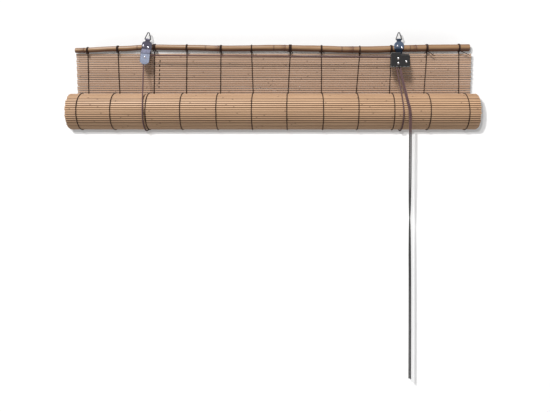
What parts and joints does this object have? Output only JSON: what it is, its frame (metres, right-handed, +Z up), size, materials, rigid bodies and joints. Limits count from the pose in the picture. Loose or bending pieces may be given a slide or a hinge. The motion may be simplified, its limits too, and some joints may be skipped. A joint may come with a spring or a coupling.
{
  "type": "bamboo roll up blind",
  "caption": "Woven bamboo slat blind, almost fully raised into a roll under a crooked bamboo head pole, with ring hangers, a pulley, a cord lock and pull cords.",
  "frame": {"origin": "midway between the two points at the top inside the rings where the wall hooks bear", "axes": "+X right as seen from the room, -Y towards the room, +Z up"},
  "size_m": [0.798, 0.0801, 0.6738],
  "materials": {
    "bamboo_pole": "satin",
    "bamboo_slats": "satin",
    "binding_thread": "matt",
    "galvanised_wire": "satin",
    "grey_steel_strap": "satin",
    "blued_steel_strap": "satin",
    "nail_steel": "polished",
    "pale_pressed_steel": "satin",
    "blackened_steel": "satin",
    "rivet_steel": "polished",
    "wheel_plastic": "matt",
    "roller_brass": "satin",
    "cam_steel": "satin",
    "lift_cord": "matt"
  },
  "bodies": {
    "blind": {"head_pole": "bamboo_pole", "slat_01": "bamboo_slats", "slat_02": "bamboo_slats", "slat_03": "bamboo_slats", "slat_04": "bamboo_slats", "slat_05": "bamboo_slats", "slat_06": "bamboo_slats", "slat_07": "bamboo_slats", "slat_08": "bamboo_slats", "slat_09": "bamboo_slats", "slat_10": "bamboo_slats", "slat_11": "bamboo_slats", "slat_12": "bamboo_slats", "slat_13": "bamboo_slats", "slat_14": "bamboo_slats", "slat_15": "bamboo_slats", "slat_16": "bamboo_slats", "slat_17": "bamboo_slats", "slat_18": "bamboo_slats", "slat_19": "bamboo_slats", "slat_20": "bamboo_slats", "slat_21": "bamboo_slats", "slat_22": "bamboo_slats", "slat_23": "bamboo_slats", "slat_24": "bamboo_slats", "slat_25": "bamboo_slats", "slat_26": "bamboo_slats", "thread_01": "binding_thread", "thread_02": "binding_thread", "thread_03": "binding_thread", "thread_04": "binding_thread", "thread_05": "binding_thread", "thread_06": "binding_thread", "thread_07": "binding_thread", "thread_08": "binding_thread", "thread_09": "binding_thread", "thread_10": "binding_thread", "thread_11": "binding_thread", "thread_12": "binding_thread", "bamboo_roll": "bamboo_slats", "bottom_pole": "bamboo_pole", "left_hanger_strap": "grey_steel_strap", "left_hanger_nails": "nail_steel", "pulley_housing": "pale_pressed_steel", "pulley_axle": "nail_steel", "right_hanger_strap": "blued_steel_strap", "right_hanger_nails": "nail_steel", "lock_housing": "blackened_steel", "lock_rivets": "rivet_steel", "cord_staples": "nail_steel", "left_lift_cord": "lift_cord", "right_lift_cord": "lift_cord"},
    "left_ring": {"left_ring": "galvanised_wire"},
    "right_ring": {"right_ring": "galvanised_wire"},
    "pulley_wheel": {"pulley_wheel": "wheel_plastic"},
    "lock_wheel": {"lock_wheel": "wheel_plastic"},
    "lock_roller": {"lock_roller": "roller_brass"},
    "lock_cam": {"lock_cam": "cam_steel"}
  },
  "joints": [
    {"name": "left_ring_pivot", "type": "hinge", "parent": "blind", "child": "left_ring", "pos_m": [-0.25259, 0, -0.01331], "axis": [0.993, 0, -0.1184], "range_deg": [-120, 120]},
    {"name": "right_ring_pivot", "type": "hinge", "parent": "blind", "child": "right_ring", "pos_m": [0.251, 0, -0.0134], "axis": [1, 0, 0], "range_deg": [-120, 120]},
    {"name": "pulley_spin", "type": "hinge", "parent": "blind", "child": "pulley_wheel", "pos_m": [-0.2569, -0.0043, -0.04945], "axis": [0, 1, 0], "continuous": true},
    {"name": "lock_wheel_spin", "type": "hinge", "parent": "blind", "child": "lock_wheel", "pos_m": [0.248, -0.0069, -0.0522], "axis": [0, 1, 0], "continuous": true},
    {"name": "lock_roller_spin", "type": "hinge", "parent": "blind", "child": "lock_roller", "pos_m": [0.248, -0.0069, -0.0617], "axis": [0, 1, 0], "continuous": true},
    {"name": "lock_cam_pivot", "type": "hinge", "parent": "blind", "child": "lock_cam", "pos_m": [0.2639, -0.0069, -0.0584], "axis": [0, -1, 0], "range_deg": [0, 35]}
  ],
  "couplings": [
    {"joint": "lock_wheel_spin", "follows": "pulley_spin", "ratio": 1.1429}
  ]
}
